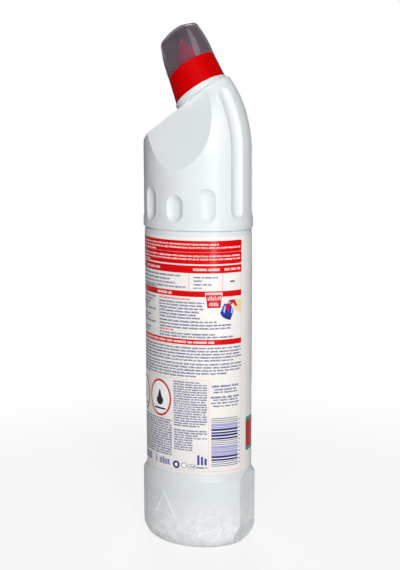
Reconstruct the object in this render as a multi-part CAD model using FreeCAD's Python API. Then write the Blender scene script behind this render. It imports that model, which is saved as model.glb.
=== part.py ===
import FreeCAD, Part
import math
import os

from FreeCAD import Matrix, Placement, Rotation, Vector

# Angled-neck bottle with a dosing spout and a clear overcap, in millimetres.
# +Z is up. The bottle is long along X and narrow along Y, and its neck leans towards -X.
# Each piece is built about the middle of the oval section, then moved to the saved origin: on
# the surface that the bottle stands on, under the middle of its overall length.

# Oval section of the bottle. The label panel and the base are the same oval, larger or smaller.
GRIP_HALF_LENGTH = 34.3
GRIP_HALF_WIDTH = 28.0
WALL = 0.9

# Heights of the bottle's zones above the surface it stands on
BASE_TOP = 43.6
PANEL_BOTTOM = 47.2
PANEL_TOP = 195.4
GROOVE_HEIGHT = 1.6
RIDGE_HEIGHT = 5.0
GRIP_BOTTOM_BLEND = 2.4
BEND_START = 242.7

# How far each zone stands out from, or lies inside, the grip zone's oval
BASE_RISE = 2.0
PANEL_DEPTH = 0.4
GROOVE_DEPTH = 1.2
RIDGE_RISE = 0.45

# Foot of the bottle
HEEL_RADIUS = 11.0
STANDING_RING_WIDTH = 1.6
STANDING_TRIM = 0.05
PUSH_UP_HEIGHT = 3.2
PUSH_UP_BLEND = 4.0
BACK_FLAT_INSET = 2.0
BACK_CHAMFER_HEIGHT = 14.0
BACK_CHAMFER_DEPTH = 5.0

# The back of the shoulder bends over towards the spout, about a line just outside the front of
# the oval. The front stays upright up to the sloping flat that the neck stands on.
BEND_GAP = 2.2
BEND_ANGLE = 37.4
BEND_STRETCH = 1.2
SHOULDER_BACK_ROUND = 8.0
SHOULDER_TAPER_POWER = 1.2
SHOULDER_REACH = 60.0
SHOULDER_FLARE = 4.0

# Flat facets on both broad sides of the shoulder
FACET_DROP = 10.5
FACET_LEAN = 17.9

# Long finger flute down the back of each side, and three oval finger dimples below the facet
FLUTE_BOTTOM = 204.0
FLUTE_TOP_ANGLE = 30.0
FLUTE_PLACE_ANGLE = 20.0
FLUTE_RADIUS = 5.6
FLUTE_DEPTH = 2.4
FLUTE_END = 4.5
DIMPLE_SPACING = 19.2
DIMPLE_BOTTOM = 201.9
DIMPLE_HEIGHT = 20.0
MIDDLE_DIMPLE_HEIGHT = 16.2
DIMPLE_RADIUS = 8.5
DIMPLE_DEPTH = 2.4

# Raised triangle outline on the foot
TRIANGLE_SIDE = 18.0
TRIANGLE_LINE = 1.7
TRIANGLE_RISE = 0.6
TRIANGLE_X = -8.9
TRIANGLE_LOW = 20.3

# Label film
LABEL_THICKNESS = 0.15
LABEL_FIT = 0.05
LABEL_BOTTOM = 48.6
LABEL_TOP = 193.2

# Closure, placed from the line the shoulder bends about. Its rings are square to the ring axis;
# their middles shift along the lift axis.
CLOSURE_ALONG = 39.15
CLOSURE_ABOVE = 34.6
RING_LEAN = 35.5
LIFT_LEAN = 24.5
BAND_FOOT_RADIUS = 16.95
BAND_TOP_RADIUS = 15.55
BAND_HEIGHT = 15.6
BAND_WALL = 1.3
DECK_THICKNESS = 1.4
PARTING_GAP = 0.2

# Collar and neck of the bottle, under the band
COLLAR_RADIUS = 17.6
COLLAR_ROOT = 12.0
NECK_RADIUS = 11.8
NECK_WALL = 1.6
NECK_HEIGHT = 11.5
SNAP_BEAD = 0.5
SNAP_BEAD_HEIGHT = 7.0
FIT_CLEARANCE = 0.15
SLEEVE_WALL = 1.1
SLEEVE_FOOT = 3.5
PLUG_DEPTH = 4.0
PLUG_WALL = 1.0

# Spout inside the overcap
SPOUT_BASE_RADIUS = 6.1
SPOUT_BASE_HEIGHT = 9.3
SPOUT_BEAD_RISE = 0.7
SPOUT_BEAD_WIDTH = 1.6
SPOUT_BEAD_HEIGHTS = (4.2, 7.3)
SPOUT_CONE_HEIGHT = 5.2
NOZZLE_ROOT_RADIUS = 2.3
NOZZLE_TIP_RADIUS = 1.5
NOZZLE_TIP_HEIGHT = 19.2
SPOUT_WALL = 1.1
ORIFICE_RADIUS = 0.7

# Overcap
CAP_HEIGHT = 23.6
CAP_TOP_RADIUS = 13.2
CAP_BELLY = 0.3
CAP_EDGE_RADIUS = 3.6
CAP_DOME_RADIUS = 34.0
CAP_WALL = 1.2
CAP_ROOF = 1.4
PAD_FOOT_DISTANCE = 9.9
PAD_TOP_DISTANCE = 7.05
PAD_BEVEL_ANGLE = 32.0
PAD_BEVEL_FOOT_DISTANCE = 13.9
PAD_BEVEL_TOP_DISTANCE = 11.7
SEAL_CUP_DEPTH = 2.4
SEAL_CUP_CLEARANCE = 0.3
SEAL_CUP_WALL = 0.8

# Values that follow from the sizes above
OVAL_RATIO = GRIP_HALF_WIDTH / GRIP_HALF_LENGTH
PIVOT_X = -GRIP_HALF_LENGTH - BEND_GAP
CLOSURE_X = PIVOT_X + CLOSURE_ALONG
CLOSURE_Z = BEND_START + CLOSURE_ABOVE
LEAN_SHIFT = math.tan(math.radians(RING_LEAN - LIFT_LEAN))
ORIGIN_SHIFT = (BASE_RISE - max(RIDGE_RISE, BASE_RISE - BACK_FLAT_INSET)) / 2
FAR = 400.0


def oval_solid(profile):
    """Turn a closed outline in the XZ plane about Z, then narrow it in Y to the bottle's oval."""
    face = Part.Face(Part.Wire(profile))
    turned = face.revolve(Vector(0, 0, 0), Vector(0, 0, 1), 360)
    squeeze = Matrix()
    squeeze.A22 = OVAL_RATIO
    return turned.transformGeometry(squeeze)


def line(x1, z1, x2, z2):
    """Give a straight edge in the XZ plane."""
    return Part.LineSegment(Vector(x1, 0, z1), Vector(x2, 0, z2)).toShape()


def arc(x1, z1, x2, z2, x3, z3):
    """Give an arc in the XZ plane through three points."""
    return Part.Arc(Vector(x1, 0, z1), Vector(x2, 0, z2), Vector(x3, 0, z3)).toShape()


def corner(x, z, radius, start):
    """Give the quarter arc about (x, z) that begins at the angle start, in degrees."""
    points = []
    for turn in (0, 45, 90):
        angle = math.radians(start + turn)
        points += [x + radius * math.cos(angle), z + radius * math.sin(angle)]
    return arc(*points)


def polyline(points):
    """Give the straight edges through a list of (x, z) points."""
    edges = []
    for (x1, z1), (x2, z2) in zip(points, points[1:]):
        edges.append(line(x1, z1, x2, z2))
    return edges


def lower_body(inset):
    """Give the bottle from foot to grip, or the space inside it when inset is the wall."""
    base = GRIP_HALF_LENGTH + BASE_RISE - inset
    panel = GRIP_HALF_LENGTH - PANEL_DEPTH - inset
    groove = GRIP_HALF_LENGTH - GROOVE_DEPTH - inset
    ridge = GRIP_HALF_LENGTH + RIDGE_RISE - inset
    grip = GRIP_HALF_LENGTH - inset
    heel = HEEL_RADIUS - inset
    floor = inset - STANDING_TRIM
    ring_outer = base - heel
    ring_inner = ring_outer - STANDING_RING_WIDTH
    hollow = PUSH_UP_HEIGHT + inset
    groove_top = PANEL_TOP + GROOVE_HEIGHT
    ridge_top = groove_top + RIDGE_HEIGHT
    grip_bottom = ridge_top + GRIP_BOTTOM_BLEND
    edges = polyline([(0, hollow), (ring_inner - PUSH_UP_BLEND, hollow), (ring_inner, floor),
                      (ring_outer, floor)])
    edges.append(corner(ring_outer, floor + heel, heel, -90))
    edges += polyline([(base, floor + heel), (base, BASE_TOP), (panel, PANEL_BOTTOM),
                       (panel, PANEL_TOP), (groove, PANEL_TOP + GROOVE_HEIGHT / 2),
                       (ridge, groove_top), (ridge, ridge_top), (grip, grip_bottom),
                       (grip, BEND_START), (0, BEND_START), (0, hollow)])
    return oval_solid(edges)


def oval_bar(half_length, low, high, inset=0):
    """Give an upright bar of the bottle's oval between two heights, smaller by an inset."""
    long_half = half_length - inset
    outline = Part.Ellipse(Vector(0, 0, low), long_half, long_half * OVAL_RATIO).toShape()
    return Part.Face(Part.Wire(outline)).extrude(Vector(0, 0, high - low))


def shoulder_sizes(angle):
    """Give the shoulder's back distance from the pivot line, and its oval's two half sizes."""
    share = angle / BEND_ANGLE
    back = BEND_GAP + 2 * GRIP_HALF_LENGTH + BEND_STRETCH * share
    half_length = GRIP_HALF_LENGTH + (SHOULDER_REACH - GRIP_HALF_LENGTH) * share
    grip_round = GRIP_HALF_WIDTH ** 2 / GRIP_HALF_LENGTH
    back_round = grip_round + (SHOULDER_BACK_ROUND - grip_round) * share ** SHOULDER_TAPER_POWER
    return back, half_length, math.sqrt(back_round * half_length)


def shoulder_section(angle, inset):
    """Give the shoulder's outline at one angle of the bend: half an oval, flared to the front."""
    back, half_length, half_width = shoulder_sizes(angle)
    middle = back - half_length
    half_length -= inset
    half_width -= inset * OVAL_RATIO
    front = BEND_GAP / 2
    flared = half_width + SHOULDER_FLARE
    points = [Vector(middle, half_width, 0), Vector(front, flared, 0), Vector(front, -flared, 0),
              Vector(middle, -half_width, 0)]
    oval = Part.Ellipse(Vector(middle, 0, 0), half_length, half_width)
    edges = [Part.ArcOfEllipse(oval, -math.pi / 2, math.pi / 2).toShape()]
    for start, end in zip(points, points[1:]):
        edges.append(Part.LineSegment(start, end).toShape())
    outline = Part.Wire(edges)
    outline.Placement = Placement(Vector(PIVOT_X, 0, BEND_START), Rotation(Vector(0, 1, 0), -angle))
    return outline


def shoulder_front(inset):
    """Give the upright bar whose oval front meets the shoulder's back, flared behind its middle."""
    half_length = GRIP_HALF_LENGTH - inset
    half_width = half_length * OVAL_RATIO
    flared = half_width + SHOULDER_FLARE
    points = [Vector(0, -half_width, BEND_START), Vector(SHOULDER_REACH, -flared, BEND_START),
              Vector(SHOULDER_REACH, flared, BEND_START), Vector(0, half_width, BEND_START)]
    oval = Part.Ellipse(Vector(0, 0, BEND_START), half_length, half_width)
    edges = [Part.ArcOfEllipse(oval, math.pi / 2, 3 * math.pi / 2).toShape()]
    for start, end in zip(points, points[1:]):
        edges.append(Part.LineSegment(start, end).toShape())
    return Part.Face(Part.Wire(edges)).extrude(Vector(0, 0, 2 * SHOULDER_REACH))


def shoulder(inset):
    """Give the shoulder: an upright oval front, held inside the back that bends to the neck."""
    steps = 6
    sections = [shoulder_section(BEND_ANGLE * i / steps, inset) for i in range(steps + 1)]
    return shoulder_front(inset).common(Part.makeLoft(sections, True, False))


def block_beyond(point, normal):
    """Give a large block that fills the side of a plane that its normal points to."""
    block = Part.makeBox(FAR, FAR, FAR, Vector(-FAR / 2, -FAR / 2, 0))
    block.Placement = Placement(point, Rotation(Vector(0, 0, 1), normal))
    return block


def facet_blocks(inset):
    """Give the blocks that cut the flat facets on the shoulder's two broad sides."""
    lean = math.radians(FACET_LEAN)
    blocks = []
    for side in (-1, 1):
        normal = Vector(0, side * math.cos(lean), math.sin(lean))
        point = Vector(0, side * GRIP_HALF_WIDTH, (BEND_START - FACET_DROP)) - normal * inset
        blocks.append(block_beyond(point, normal))
    return blocks


def block_above_slope(inset):
    """Give the block above the sloping flat that the neck stands on, lowered by an inset."""
    lean = math.radians(BEND_ANGLE)
    normal = Vector(-math.sin(lean), 0, math.cos(lean))
    return block_beyond(Vector(PIVOT_X, 0, BEND_START) - normal * inset, normal)


def capsule(low, high, radius):
    """Give a rod with round ends between two points."""
    rod = Part.makeCylinder(radius, (high - low).Length, low, high - low)
    return rod.fuse([Part.makeSphere(radius, low), Part.makeSphere(radius, high)])


def oval_point(angle, outward):
    """Give the place outward from the grip's oval at an angle from +X, and where it faces."""
    turn = math.radians(angle)
    x = GRIP_HALF_LENGTH * math.cos(turn)
    y = GRIP_HALF_WIDTH * math.sin(turn)
    facing = Vector(x / GRIP_HALF_LENGTH ** 2, y / GRIP_HALF_WIDTH ** 2, 0).normalize()
    return Vector(x, y, 0) + facing * outward


def dimple_tools(inset):
    """Give the round-ended rods that press the finger dimples into both broad sides."""
    tools = []
    outward = DIMPLE_RADIUS - DIMPLE_DEPTH
    chord = math.sqrt(DIMPLE_RADIUS ** 2 - outward ** 2)
    for side in (-1, 1):
        for place in (-1, 0, 1):
            height = DIMPLE_HEIGHT if place else MIDDLE_DIMPLE_HEIGHT
            angle = math.degrees(math.acos(place * DIMPLE_SPACING / GRIP_HALF_LENGTH))
            foot = oval_point(side * angle, outward) + Vector(0, 0, DIMPLE_BOTTOM)
            low = foot + Vector(0, 0, chord)
            high = foot + Vector(0, 0, height - chord)
            tools.append(capsule(low, high, DIMPLE_RADIUS + inset))
    return tools


def flute_tool(side, inset):
    """Give the rod that follows the back of the bottle and presses one long flute."""
    radius = FLUTE_RADIUS + inset
    start = oval_point(side * FLUTE_PLACE_ANGLE, FLUTE_RADIUS - FLUTE_DEPTH)
    low = start + Vector(0, 0, FLUTE_BOTTOM + FLUTE_END)
    bend = start + Vector(0, 0, BEND_START)
    pivot = Vector(PIVOT_X, start.y, BEND_START)
    upright = Part.makeCylinder(radius, (bend - low).Length, low)
    disc = Part.Face(Part.Wire(Part.makeCircle(radius, bend, Vector(0, 0, 1))))
    bent = disc.revolve(pivot, Vector(0, -1, 0), FLUTE_TOP_ANGLE)
    lean = math.radians(FLUTE_TOP_ANGLE)
    top = pivot + Vector(math.cos(lean), 0, math.sin(lean)) * (bend - pivot).Length
    return upright.fuse([bent, Part.makeSphere(radius, low), Part.makeSphere(radius, top)])


def bottle_form(inset):
    """Give the closed form of the bottle below the collar, or its inside for a wall inset."""
    form = lower_body(inset).fuse(shoulder(inset))
    back = Vector(GRIP_HALF_LENGTH + BASE_RISE - BACK_FLAT_INSET - inset, 0, 0)
    back_block = Part.makeBox(FAR, FAR, PANEL_BOTTOM, Vector(back.x, -FAR / 2, 0))
    chamfer = Vector(BACK_CHAMFER_HEIGHT, 0, -BACK_CHAMFER_DEPTH).normalize()
    chamfer_block = block_beyond(back + Vector(0, 0, BACK_CHAMFER_HEIGHT), chamfer)
    tools = facet_blocks(inset) + dimple_tools(inset)
    tools += [back_block, chamfer_block, block_above_slope(inset)]
    tools += [flute_tool(side, inset) for side in (-1, 1)]
    return form.cut(tools)


def tilted(lean):
    """Give the placement of something built upright at the middle of the band's foot."""
    return Placement(Vector(CLOSURE_X, 0, CLOSURE_Z), Rotation(Vector(0, 1, 0), -lean))


def round_solid(profile):
    """Turn a closed outline in the XZ plane about Z."""
    return Part.Face(Part.Wire(profile)).revolve(Vector(0, 0, 0), Vector(0, 0, 1), 360)


def leaned(solid):
    """Shear an upright closure piece so that its rings shift along the lift axis."""
    shear = Matrix()
    shear.A13 = LEAN_SHIFT
    placed = solid.transformGeometry(shear)
    placed.Placement = tilted(RING_LEAN).multiply(placed.Placement)
    return placed


def leaned_along(solid):
    """Place an upright solid so that its own axis is the lift axis."""
    solid.Placement = tilted(LIFT_LEAN).multiply(solid.Placement)
    return solid


def rod_along(radius, low, high):
    """Give a cylinder about the lift axis between two heights above the band's foot."""
    return leaned_along(Part.makeCylinder(radius, high - low, Vector(0, 0, low)))


def collar_disc(radius, low, high):
    """Give a cylinder about the ring axis between two heights above the band's foot."""
    disc = Part.makeCylinder(radius, high - low, Vector(0, 0, low))
    disc.Placement = tilted(RING_LEAN).multiply(disc.Placement)
    return disc


def block_below_slope():
    """Give the block under the sloping flat, to trim what stands on the flat."""
    lean = math.radians(BEND_ANGLE)
    return block_beyond(Vector(PIVOT_X, 0, BEND_START), Vector(math.sin(lean), 0, -math.cos(lean)))


def tactile_triangle():
    """Give the raised triangle outline on the foot, as a rim that follows the oval."""
    height = TRIANGLE_SIDE * math.sqrt(3) / 2

    def prism(shrink):
        """Give a triangular bar along Y, smaller by shrink on every side."""
        half = TRIANGLE_SIDE / 2 - shrink * math.sqrt(3)
        low = TRIANGLE_LOW + shrink
        top = TRIANGLE_LOW + height - 2 * shrink
        corners = [Vector(TRIANGLE_X - half, -FAR / 4, low), Vector(TRIANGLE_X + half, -FAR / 4, low),
                   Vector(TRIANGLE_X, -FAR / 4, top)]
        outline = Part.makePolygon(corners + corners[:1])
        return Part.Face(outline).extrude(Vector(0, FAR / 4, 0))

    rim = prism(0).cut(prism(TRIANGLE_LINE))
    half_length = GRIP_HALF_LENGTH + BASE_RISE
    skin = oval_bar(half_length + TRIANGLE_RISE, 0, BASE_TOP).cut(
        oval_bar(half_length - WALL / 2, 0, BASE_TOP))
    return rim.common(skin)


def bottle():
    """Give the blown bottle with its collar, open neck and raised triangle."""
    snap = round_solid(polyline([
        (0, SNAP_BEAD_HEIGHT - 2 * SNAP_BEAD), (NECK_RADIUS, SNAP_BEAD_HEIGHT - 2 * SNAP_BEAD),
        (NECK_RADIUS + SNAP_BEAD, SNAP_BEAD_HEIGHT), (NECK_RADIUS, SNAP_BEAD_HEIGHT + SNAP_BEAD),
        (0, SNAP_BEAD_HEIGHT + SNAP_BEAD), (0, SNAP_BEAD_HEIGHT - 2 * SNAP_BEAD)]))
    trim = block_below_slope()
    collar = collar_disc(COLLAR_RADIUS, -COLLAR_ROOT, 0).cut(trim)
    neck = rod_along(NECK_RADIUS, -COLLAR_ROOT, NECK_HEIGHT).cut(trim)
    outside = bottle_form(0).fuse([collar, neck, leaned_along(snap), tactile_triangle()])
    bore = rod_along(NECK_RADIUS - NECK_WALL, -2 * COLLAR_ROOT, NECK_HEIGHT + 1)
    below_floor = Part.makeBox(FAR, FAR, FAR, Vector(-FAR / 2, -FAR / 2, -FAR))
    return outside.cut([bottle_form(WALL), bore, below_floor])


def label():
    """Give the printed film wrapped once round the panel."""
    inner = GRIP_HALF_LENGTH - PANEL_DEPTH + LABEL_FIT
    film = oval_bar(inner + LABEL_THICKNESS, LABEL_BOTTOM, LABEL_TOP)
    return film.cut(oval_bar(inner, LABEL_BOTTOM, LABEL_TOP))


def band_shell():
    """Give the band, its deck and the spout above it, all upright."""
    foot_inner = BAND_FOOT_RADIUS - BAND_WALL
    top_inner = BAND_TOP_RADIUS - BAND_WALL
    under_deck = BAND_HEIGHT - DECK_THICKNESS
    base_top = BAND_HEIGHT + SPOUT_BASE_HEIGHT
    cone_top = base_top + SPOUT_CONE_HEIGHT
    tip = BAND_HEIGHT + NOZZLE_TIP_HEIGHT
    bore = SPOUT_BASE_RADIUS - SPOUT_WALL
    outline = [(foot_inner, 0), (BAND_FOOT_RADIUS, 0), (BAND_TOP_RADIUS, BAND_HEIGHT),
               (SPOUT_BASE_RADIUS, BAND_HEIGHT)]
    for height in SPOUT_BEAD_HEIGHTS:
        middle = BAND_HEIGHT + height
        outline += [(SPOUT_BASE_RADIUS, middle - SPOUT_BEAD_WIDTH / 2),
                    (SPOUT_BASE_RADIUS + SPOUT_BEAD_RISE, middle - SPOUT_BEAD_WIDTH / 4),
                    (SPOUT_BASE_RADIUS + SPOUT_BEAD_RISE, middle + SPOUT_BEAD_WIDTH / 4),
                    (SPOUT_BASE_RADIUS, middle + SPOUT_BEAD_WIDTH / 2)]
    outline += [(SPOUT_BASE_RADIUS, base_top), (NOZZLE_ROOT_RADIUS, cone_top),
                (NOZZLE_TIP_RADIUS, tip), (ORIFICE_RADIUS, tip),
                (ORIFICE_RADIUS, cone_top), (bore, base_top - SPOUT_WALL), (bore, under_deck),
                (top_inner, under_deck), (foot_inner, 0)]
    return round_solid(polyline(outline))


def spout():
    """Give the red closure: band, deck, gripping sleeve, plug and the beaded nozzle."""
    sleeve_inner = NECK_RADIUS + SNAP_BEAD + FIT_CLEARANCE
    plug_outer = NECK_RADIUS - NECK_WALL - FIT_CLEARANCE
    deck_under = BAND_HEIGHT - DECK_THICKNESS
    above = collar_disc(BAND_FOOT_RADIUS * 2, deck_under + DECK_THICKNESS / 2, BAND_HEIGHT * 3)
    sleeve = rod_along(sleeve_inner + SLEEVE_WALL, SLEEVE_FOOT, BAND_HEIGHT * 2).cut(
        rod_along(sleeve_inner, 0, BAND_HEIGHT * 3))
    plug = rod_along(plug_outer, NECK_HEIGHT - PLUG_DEPTH, BAND_HEIGHT * 2).cut(
        rod_along(plug_outer - PLUG_WALL, 0, BAND_HEIGHT * 3))
    return leaned(band_shell()).fuse([sleeve.cut(above), plug.cut(above)])


def pad_block(facing, foot_distance, top_distance, inset):
    """Give the block that cuts one leaning flat of the overcap's squeeze pads."""
    foot = facing * (foot_distance - inset) + Vector(0, 0, BAND_HEIGHT)
    lean = math.atan2(foot_distance - top_distance, CAP_HEIGHT)
    return block_beyond(foot, facing * math.cos(lean) + Vector(0, 0, math.sin(lean)))


def overcap_solid(inset, drop, roof):
    """Give the overcap's upright outer form, or its inside for a wall, an open foot and a roof."""
    foot = BAND_HEIGHT + PARTING_GAP - drop
    top = BAND_HEIGHT + CAP_HEIGHT - roof
    middle = (foot + top) / 2
    edge = CAP_EDGE_RADIUS - inset
    foot_radius = BAND_TOP_RADIUS - inset
    top_radius = CAP_TOP_RADIUS - inset
    belly = (foot_radius + top_radius) / 2 + CAP_BELLY
    dome = CAP_DOME_RADIUS - roof
    dome_middle = top - dome
    edge_x = top_radius - edge
    edge_z = dome_middle + math.sqrt((dome - edge) ** 2 - edge_x ** 2)
    lean = math.asin(edge_x / (dome - edge))
    half = (lean + math.pi / 2) / 2
    side = arc(foot_radius, foot, belly, middle, top_radius, edge_z)
    round_edge = arc(top_radius, edge_z,
                     edge_x + edge * math.sin(half), edge_z + edge * math.cos(half),
                     dome * math.sin(lean), dome_middle + dome * math.cos(lean))
    roof_arc = arc(dome * math.sin(lean), dome_middle + dome * math.cos(lean),
                   dome * math.sin(lean / 2), dome_middle + dome * math.cos(lean / 2), 0, top)
    body = round_solid([line(0, foot, foot_radius, foot), side, round_edge, roof_arc,
                        line(0, top, 0, foot)])
    tools = []
    for way in (-1, 1):
        tools.append(pad_block(Vector(0, way, 0), PAD_FOOT_DISTANCE, PAD_TOP_DISTANCE, inset))
        for hand in (-1, 1):
            turn = math.radians(PAD_BEVEL_ANGLE)
            bevel = Vector(hand * math.sin(turn), way * math.cos(turn), 0)
            tools.append(pad_block(bevel, PAD_BEVEL_FOOT_DISTANCE, PAD_BEVEL_TOP_DISTANCE, inset))
    return body.cut(tools)


def overcap():
    """Give the clear overcap, hollow and open at its foot, with a seal cup for the nozzle."""
    shell = leaned(overcap_solid(0, 0, 0)).cut(leaned(overcap_solid(CAP_WALL, 1, CAP_ROOF)))
    nozzle_length = NOZZLE_TIP_HEIGHT - SPOUT_BASE_HEIGHT - SPOUT_CONE_HEIGHT
    taper = (NOZZLE_ROOT_RADIUS - NOZZLE_TIP_RADIUS) / nozzle_length
    cup_inner = NOZZLE_TIP_RADIUS + taper * SEAL_CUP_DEPTH + SEAL_CUP_CLEARANCE
    cup_outer = cup_inner + SEAL_CUP_WALL
    cup_top = BAND_HEIGHT + CAP_HEIGHT - CAP_ROOF / 2
    cup_low = BAND_HEIGHT + NOZZLE_TIP_HEIGHT - SEAL_CUP_DEPTH
    cup = round_solid(polyline([(cup_inner, cup_low), (cup_outer, cup_low), (cup_outer, cup_top),
                                (cup_inner, cup_top), (cup_inner, cup_low)]))
    return shell.fuse(leaned(cup))


def save(name, shape):
    """Move one piece to the saved origin and write it as parts/NAME.step."""
    shape.translate(Vector(ORIGIN_SHIFT, 0, 0))
    shape.exportStep(os.path.join("parts", name + ".step"))
    print(name, shape.isValid(), len(shape.Solids), round(shape.Volume / 1000.0, 2), "cm3")


os.makedirs("parts", exist_ok=True)
save("bottle", bottle())
save("label", label())
save("spout", spout())
save("overcap", overcap())
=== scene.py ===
"""Dresses the leaning-neck bleach bottle: plastics, printed film, studio and camera.

The sizes of bottle, finishes and camera are in millimetres until they are used, and those of the
floor and the lamps are in metres. The saved frame stands the bottle on Z = 0, long along X, with
the print that the camera sees facing -Y.
"""
import logging
import math
import random
from bisect import bisect_right
from dataclasses import dataclass, field
from enum import Enum

import bmesh
import bpy
from mathutils import Matrix, Vector


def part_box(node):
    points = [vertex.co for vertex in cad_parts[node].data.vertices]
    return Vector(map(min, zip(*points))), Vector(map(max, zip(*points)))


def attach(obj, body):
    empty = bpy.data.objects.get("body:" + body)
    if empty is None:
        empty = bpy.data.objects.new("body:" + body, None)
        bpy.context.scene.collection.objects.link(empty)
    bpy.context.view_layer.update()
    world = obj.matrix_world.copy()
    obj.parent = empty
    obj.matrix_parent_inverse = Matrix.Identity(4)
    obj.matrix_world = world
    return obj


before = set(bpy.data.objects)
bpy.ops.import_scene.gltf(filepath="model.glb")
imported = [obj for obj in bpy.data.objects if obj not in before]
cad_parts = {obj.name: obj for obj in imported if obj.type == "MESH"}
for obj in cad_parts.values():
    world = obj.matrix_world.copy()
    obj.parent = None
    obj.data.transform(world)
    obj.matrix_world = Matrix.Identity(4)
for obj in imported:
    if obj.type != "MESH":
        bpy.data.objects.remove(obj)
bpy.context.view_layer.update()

LOG = logging.getLogger("bottle")
MM = 0.001
MM_PER_METRE = 1000.0
FULL_TURN = 2 * math.pi
PRINT_SEED = 7
POLYETHYLENE_INDEX = 1.54
POLYPROPYLENE_INDEX = 1.49
WHITE_LIGHT = (1.0, 1.0, 1.0, 1.0)

# The sockets of a Mix node set to colours. Their names repeat, so they go by number.
FACTOR, FIRST, SECOND, MIXED = 0, 6, 7, 2

Point = tuple[float, float]
Span = tuple[float, float]
Colour = tuple[float, float, float, float]


class Body(str, Enum):
    """The moving group that the print rides on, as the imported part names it."""

    BOTTLE = "bottle_body"


class Ink(Enum):
    """The inks of the label, by the colour they print."""

    RED = "#D00008"
    DEEP_RED = "#B00008"
    CRIMSON = "#C4102C"
    WHITE = "#F6F2EE"
    PINK = "#F3BCBD"
    SMALL_NAVY = "#35357F"
    SMALL_RED = "#D4454C"
    SMALL_WHITE = "#F8DEDB"
    NAVY = "#2B2F74"
    LILAC = "#9E9EC8"
    SLATE = "#8A8AA2"
    INDIGO = "#4A4A9E"
    BLUE = "#2438A4"
    PALE_BLUE = "#A9C4EE"
    TEAL = "#2E8F96"
    SAND = "#E6CFA6"
    CHARCOAL = "#22242A"


SMALL_INKS = (Ink.SMALL_NAVY, Ink.SMALL_RED, Ink.SMALL_WHITE)


def linear(code: str) -> Colour:
    """Turn an sRGB hex colour into linear light, by the numbers of the sRGB curve.

    Args:
        code: the colour as "#RRGGBB".

    Returns:
        The linear red, green and blue, with an alpha of 1.
    """
    parts = [int(code[i:i + 2], 16) / 255.0 for i in (1, 3, 5)]
    light = [p / 12.92 if p <= 0.04045 else ((p + 0.055) / 1.055) ** 2.4 for p in parts]
    return (light[0], light[1], light[2], 1.0)


def add_node(tree: bpy.types.NodeTree, kind: str, inputs: dict[str | int, object] | None = None,
             **settings: object) -> bpy.types.Node:
    """Add a node, with its settings, input values and links.

    Args:
        tree: the node tree that gets the node.
        kind: Blender's name of the node type.
        inputs: values or sockets for the node's inputs, by name or number.
        settings: attributes of the node itself.

    Returns:
        The new node.
    """
    node = tree.nodes.new(kind)
    for name, value in settings.items():
        setattr(node, name, value)
    for key, value in (inputs or {}).items():
        if isinstance(value, bpy.types.NodeSocket):
            tree.links.new(value, node.inputs[key])
        else:
            node.inputs[key].default_value = value
    return node


def seen_share(tree: bpy.types.NodeTree) -> bpy.types.NodeSocket:
    """Tell the rays that make the picture from those that carry light.

    Args:
        tree: the node tree that needs to know.

    Returns:
        A socket that is 1 for the camera's rays, also through the overcap, and 0 for the others.
    """
    path = add_node(tree, "ShaderNodeLightPath")
    return add_node(tree, "ShaderNodeMath", {
        0: path.outputs["Is Camera Ray"], 1: path.outputs["Is Transmission Ray"]},
        operation="MAXIMUM").outputs["Value"]


def blank_material(name: str) -> tuple[bpy.types.Material, bpy.types.NodeTree]:
    """Start a node material with nothing in it.

    Args:
        name: the material's name.

    Returns:
        The material and its empty node tree.
    """
    material = bpy.data.materials.new(name)
    material.use_nodes = True
    material.node_tree.nodes.clear()
    return material, material.node_tree


def add_object(name: str, data: bpy.types.ID) -> bpy.types.Object:
    """Make an object and link it to the scene.

    Args:
        name: the object's name.
        data: its mesh, lamp or camera.

    Returns:
        The object.
    """
    thing = bpy.data.objects.new(name, data)
    bpy.context.scene.collection.objects.link(thing)
    return thing


def add_mesh_object(name: str, work: bmesh.types.BMesh,
                    materials: list[bpy.types.Material]) -> bpy.types.Object:
    """Turn a finished bmesh into an object, and free the bmesh.

    Args:
        name: the name of the object and its mesh.
        work: the bmesh.
        materials: the materials that its faces count by.

    Returns:
        The object, linked to the scene.
    """
    mesh = bpy.data.meshes.new(name)
    work.to_mesh(mesh)
    work.free()
    for material in materials:
        mesh.materials.append(material)
    return add_object(name, mesh)


def paint(node: str, material: bpy.types.Material) -> None:
    """Put one material on every slot of a CAD node.

    Args:
        node: the node's name.
        material: its new material.
    """
    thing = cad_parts[node]
    if not thing.material_slots:
        thing.data.materials.append(material)
    for place in thing.material_slots:
        place.material = material


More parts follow.
